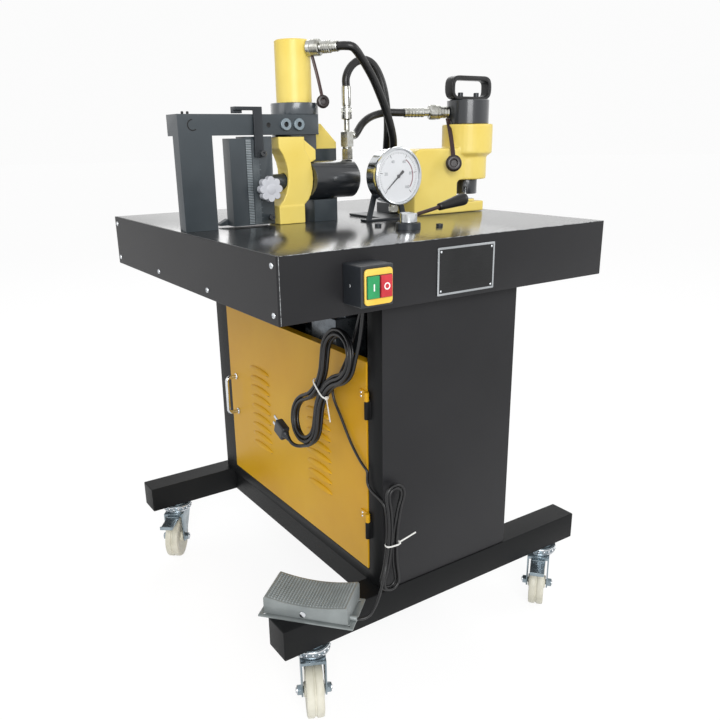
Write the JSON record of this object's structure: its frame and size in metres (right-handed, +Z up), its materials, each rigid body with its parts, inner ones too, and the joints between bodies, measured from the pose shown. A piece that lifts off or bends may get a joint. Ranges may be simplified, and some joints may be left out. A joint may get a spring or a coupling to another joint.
{
  "type": "hydraulic busbar workbench",
  "caption": "Hydraulic busbar bending, cutting and punching bench: steel table on a cabinet with a door, H base, swivel casters, gauge, selector valve and foot pedal.",
  "frame": {"origin": "on the floor under the middle of the footprint, cords left out", "axes": "+X to the operator's right along the front apron, +Y away from the operator, +Z up"},
  "size_m": [0.7572, 0.8484, 1.1926],
  "materials": {
    "powder_black": "textured powder coat, dark charcoal",
    "tool_black": "smooth black oxide and paint",
    "tool_yellow": "glossy light yellow paint",
    "door_yellow": "fine textured golden yellow powder coat",
    "chrome": "plated steel fittings",
    "zinc": "zinc-plated pressed steel",
    "ram_steel": "ground tool steel",
    "wheel_cream": "cream nylon with light wear",
    "pedal_grey": "grey hammertone paint on a casting",
    "rubber_black": "black rubber",
    "switch_black": "black moulded plastic",
    "button_green": "green plastic",
    "button_red": "red plastic",
    "plate_alu": "anodised aluminium with a black field",
    "knob_grey": "light grey moulded star knobs",
    "needle_black": "black paint"
  },
  "bodies": {
    "machine": {"front_beam": "powder_black", "rear_beam": "powder_black", "left_rail": "powder_black", "right_rail": "powder_black", "table_top": "powder_black", "left_apron": "powder_black", "cabinet_shell": "powder_black", "switch_box": "switch_black", "nameplate": "plate_alu", "pedal_base": "pedal_grey", "punch_frame": "tool_yellow", "punch_cylinder": "tool_black", "punch_stripper": "tool_black", "punch_handle": "rubber_black", "punch_coupler": "chrome", "portal": "tool_black", "bend_frame": "tool_yellow", "bend_cylinder": "tool_black", "cutter_head": "tool_black", "cutter_cylinder": "tool_yellow", "cutter_coupler": "chrome", "cutter_block": "tool_black", "bend_coupler": "chrome", "gauge_case": "chrome", "gauge_bracket": "tool_black", "valve_body": "tool_black", "oil_tank": "powder_black", "pump_unit": "tool_black", "cutter_hose": "rubber_black", "bend_hose": "rubber_black", "punch_hose": "rubber_black", "cable_gland": "rubber_black", "foot_hank": "rubber_black"},
    "door": {"left_door": "door_yellow", "door_handle": "chrome", "mains_hank": "rubber_black", "mains_plug": "rubber_black", "foot_lead": "rubber_black"},
    "start_button": {"start_button": "button_green"},
    "stop_button": {"stop_button": "button_red"},
    "pedal": {"pedal_treadle": "pedal_grey"},
    "punch_ram": {"punch_ram": "ram_steel"},
    "cutter_blade": {"cutter_blade": "ram_steel"},
    "bend_slide": {"guide_channel": "tool_black", "bend_die": "tool_black", "hold_strap": "tool_black"},
    "clamp_screw": {"clamp_screw": "knob_grey"},
    "gauge_needle": {"gauge_needle": "needle_black"},
    "valve_lever": {"valve_lever": "chrome"},
    "front_left_caster": {"front_left_fork": "zinc"},
    "front_left_wheel": {"front_left_wheel": "wheel_cream"},
    "front_right_caster": {"front_right_fork": "zinc"},
    "front_right_wheel": {"front_right_wheel": "wheel_cream"},
    "rear_left_caster": {"rear_left_fork": "zinc"},
    "rear_left_wheel": {"rear_left_wheel": "wheel_cream"},
    "rear_right_caster": {"rear_right_fork": "zinc"},
    "rear_right_wheel": {"rear_right_wheel": "wheel_cream"},
    "front_right_brake": {"front_right_brake": "zinc"},
    "rear_left_brake": {"rear_left_brake": "zinc"}
  },
  "joints": [
    {"name": "door_hinge", "type": "hinge", "parent": "machine", "child": "door", "pos_m": [-0.15593, -0.30071, 0.43], "axis": [0, 0, 1], "range_deg": [0, 58]},
    {"name": "start_press", "type": "slide", "parent": "machine", "child": "start_button", "axis": [0, 1, 0], "range_m": [0, 0.003], "stiffness_N_per_m": 300, "springref_m": -0.001},
    {"name": "stop_press", "type": "slide", "parent": "machine", "child": "stop_button", "axis": [0, 1, 0], "range_m": [0, 0.003], "stiffness_N_per_m": 300, "springref_m": -0.001},
    {"name": "pedal_tilt", "type": "hinge", "parent": "machine", "child": "pedal", "pos_m": [-0.28857, -0.3062, 0.2121], "axis": [0.7513, 0.66, 0], "range_deg": [-2.5, 0], "stiffness_Nm_per_rad": 8, "springref_deg": 5.73},
    {"name": "punch_stroke", "type": "slide", "parent": "machine", "child": "punch_ram", "axis": [0, 0, -1], "range_m": [0, 0.014], "stiffness_N_per_m": 1500, "springref_m": -0.012},
    {"name": "cutter_stroke", "type": "slide", "parent": "machine", "child": "cutter_blade", "axis": [0, 0, -1], "range_m": [0, 0.038], "stiffness_N_per_m": 800, "springref_m": -0.012},
    {"name": "bend_stroke", "type": "slide", "parent": "machine", "child": "bend_slide", "axis": [-1, 0, 0], "range_m": [0, 0.03], "stiffness_N_per_m": 600, "springref_m": -0.02},
    {"name": "clamp_turn", "type": "hinge", "parent": "bend_slide", "child": "clamp_screw", "pos_m": [-0.18293, 0.04179, 0.9213], "axis": [0, 1, 0], "continuous": true},
    {"name": "needle_swing", "type": "hinge", "parent": "machine", "child": "gauge_needle", "pos_m": [0.05507, -0.11421, 0.9383], "axis": [0, 1, 0], "range_deg": [0, 270], "stiffness_Nm_per_rad": 0.0005, "springref_deg": -28.65},
    {"name": "valve_turn", "type": "hinge", "parent": "machine", "child": "valve_lever", "pos_m": [-0.00493, -0.22321, 0.872], "axis": [0, 0, 1], "range_deg": [-40, 40]},
    {"name": "front_left_swivel", "type": "hinge", "parent": "machine", "child": "front_left_caster", "pos_m": [-0.29393, -0.31396, 0.125], "axis": [0, 0, 1], "continuous": true},
    {"name": "front_left_roll", "type": "hinge", "parent": "front_left_caster", "child": "front_left_wheel", "pos_m": [-0.30621, -0.33912, 0.05], "axis": [0.8988, -0.4384, 0], "continuous": true},
    {"name": "front_right_swivel", "type": "hinge", "parent": "machine", "child": "front_right_caster", "pos_m": [0.30807, -0.31396, 0.125], "axis": [0, 0, 1], "continuous": true},
    {"name": "front_right_roll", "type": "hinge", "parent": "front_right_caster", "child": "front_right_wheel", "pos_m": [0.28662, -0.33196, 0.05], "axis": [0.6428, -0.766, 0], "continuous": true},
    {"name": "rear_left_swivel", "type": "hinge", "parent": "machine", "child": "rear_left_caster", "pos_m": [-0.29393, 0.35754, 0.125], "axis": [0, 0, 1], "continuous": true},
    {"name": "rear_left_roll", "type": "hinge", "parent": "rear_left_caster", "child": "rear_left_wheel", "pos_m": [-0.31078, 0.33518, 0.05], "axis": [0.7986, -0.6018, 0], "continuous": true},
    {"name": "rear_right_swivel", "type": "hinge", "parent": "machine", "child": "rear_right_caster", "pos_m": [0.30807, 0.35754, 0.125], "axis": [0, 0, 1], "continuous": true},
    {"name": "rear_right_roll", "type": "hinge", "parent": "rear_right_caster", "child": "rear_right_wheel", "pos_m": [0.32681, 0.37835, 0.05], "axis": [-0.7431, 0.6691, 0], "continuous": true},
    {"name": "front_right_brake_press", "type": "hinge", "parent": "front_right_caster", "child": "front_right_brake", "pos_m": [0.27413, -0.34243, 0.1095], "axis": [0.6428, -0.766, 0], "range_deg": [0, 10]},
    {"name": "rear_left_brake_press", "type": "hinge", "parent": "rear_left_caster", "child": "rear_left_brake", "pos_m": [-0.32059, 0.32216, 0.1095], "axis": [0.7986, -0.6018, 0], "range_deg": [0, 10]}
  ]
}
